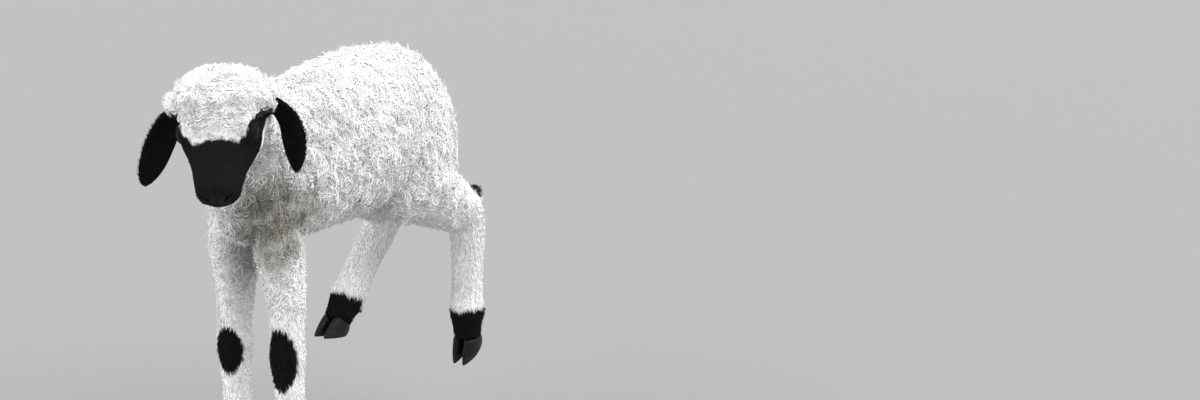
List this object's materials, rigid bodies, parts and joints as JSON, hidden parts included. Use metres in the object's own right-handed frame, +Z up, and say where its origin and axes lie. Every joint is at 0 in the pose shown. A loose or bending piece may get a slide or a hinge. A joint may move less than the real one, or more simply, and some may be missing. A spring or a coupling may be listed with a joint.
{
  "type": "valais blacknose sheep",
  "caption": "Still, life-size model of a young valais blacknose lamb caught in mid leap, held by a rod on an oval display base.",
  "frame": {"origin": "centre of the stand's base at its underside, on the floor", "axes": "+X the way that the lamb's body heads, +Y to the lamb's left, +Z up"},
  "size_m": [0.5368, 0.25, 0.5532],
  "materials": {
    "fleece_white": "matt white wool, with short black fur on muzzle, knees, hocks and pasterns",
    "coat_black": "short matt black fur",
    "hoof_horn": "satin dark horn",
    "eye_brown": "wet gloss",
    "rod_steel": "brushed",
    "base_grey": "matt dark grey paint"
  },
  "bodies": {
    "root": {"head": "fleece_white", "neck": "fleece_white", "torso": "fleece_white", "tail": "fleece_white", "foreleg_left": "fleece_white", "foreleg_right": "fleece_white", "hindleg_left": "fleece_white", "hindleg_right": "fleece_white", "hindcannon_left": "fleece_white", "hindcannon_right": "fleece_white", "ear_left": "coat_black", "ear_right": "coat_black", "eye_left": "eye_brown", "eye_right": "eye_brown", "hoof_fore_left_inner": "hoof_horn", "hoof_fore_left_outer": "hoof_horn", "hoof_fore_right_inner": "hoof_horn", "hoof_fore_right_outer": "hoof_horn", "hoof_hind_left_inner": "hoof_horn", "hoof_hind_left_outer": "hoof_horn", "hoof_hind_right_inner": "hoof_horn", "hoof_hind_right_outer": "hoof_horn", "stand_base": "base_grey", "stand_rod": "rod_steel"}
  },
  "joints": []
}
